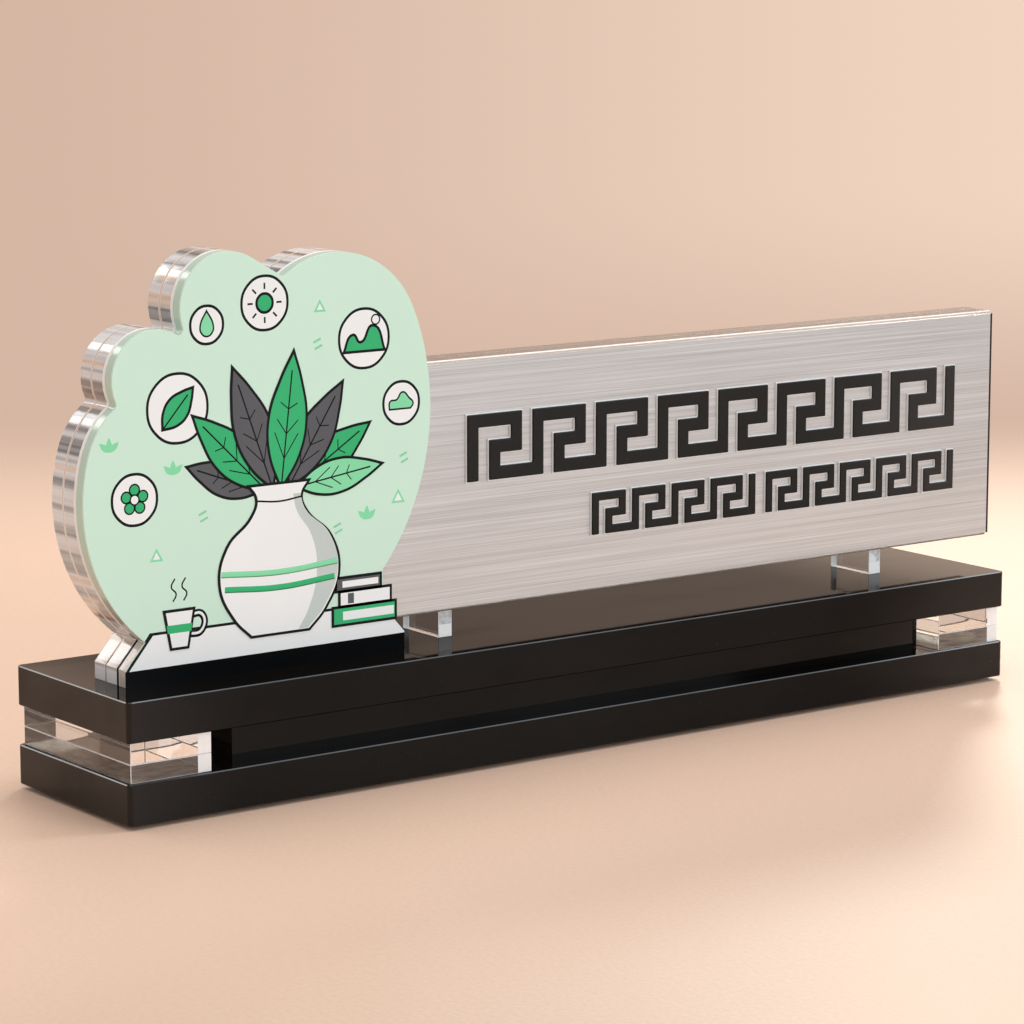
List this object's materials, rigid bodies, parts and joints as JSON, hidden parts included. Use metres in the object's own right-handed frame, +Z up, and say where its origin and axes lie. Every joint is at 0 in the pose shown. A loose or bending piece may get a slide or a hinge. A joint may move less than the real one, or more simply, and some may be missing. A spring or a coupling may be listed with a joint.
{
  "type": "desk nameplate",
  "caption": "Desk nameplate: black slab base with clear end blocks, a lobed printed acrylic plate at the left, and a brushed steel faced bar on clear posts.",
  "frame": {"origin": "on the desk, under the middle of the object's bounding box", "axes": "+X along the nameplate to the viewer's right, +Y from the printed front to the back, +Z up"},
  "size_m": [0.2982, 0.054, 0.1346],
  "materials": {
    "gloss_black": "polished",
    "clear_acrylic": "polished clear",
    "bond_film": "clear film",
    "white_backing": "satin",
    "black_sheet": "gloss",
    "printed_face": "printed",
    "brushed_steel": "brushed along X",
    "foot_rubber": "matte"
  },
  "bodies": {
    "root": {"base_bottom_slab": "gloss_black", "base_top_slab": "gloss_black", "base_core": "gloss_black", "left_end_block": "clear_acrylic", "right_end_block": "clear_acrylic", "bumper_foot_front_left": "foot_rubber", "bumper_foot_front_right": "foot_rubber", "bumper_foot_rear_left": "foot_rubber", "bumper_foot_rear_right": "foot_rubber", "plate_rear_sheet": "clear_acrylic", "plate_bond_film": "bond_film", "plate_middle_sheet": "clear_acrylic", "plate_backing_sheet": "white_backing", "ledge_backing_sheet": "black_sheet", "plate_front_sheet": "clear_acrylic", "plate_print_sheet": "printed_face", "foot_strip": "black_sheet", "bar_rear_sheet": "clear_acrylic", "bar_bond_film": "bond_film", "bar_front_sheet": "clear_acrylic", "bar_steel_face": "brushed_steel", "left_post": "clear_acrylic", "right_post": "clear_acrylic"}
  },
  "joints": []
}
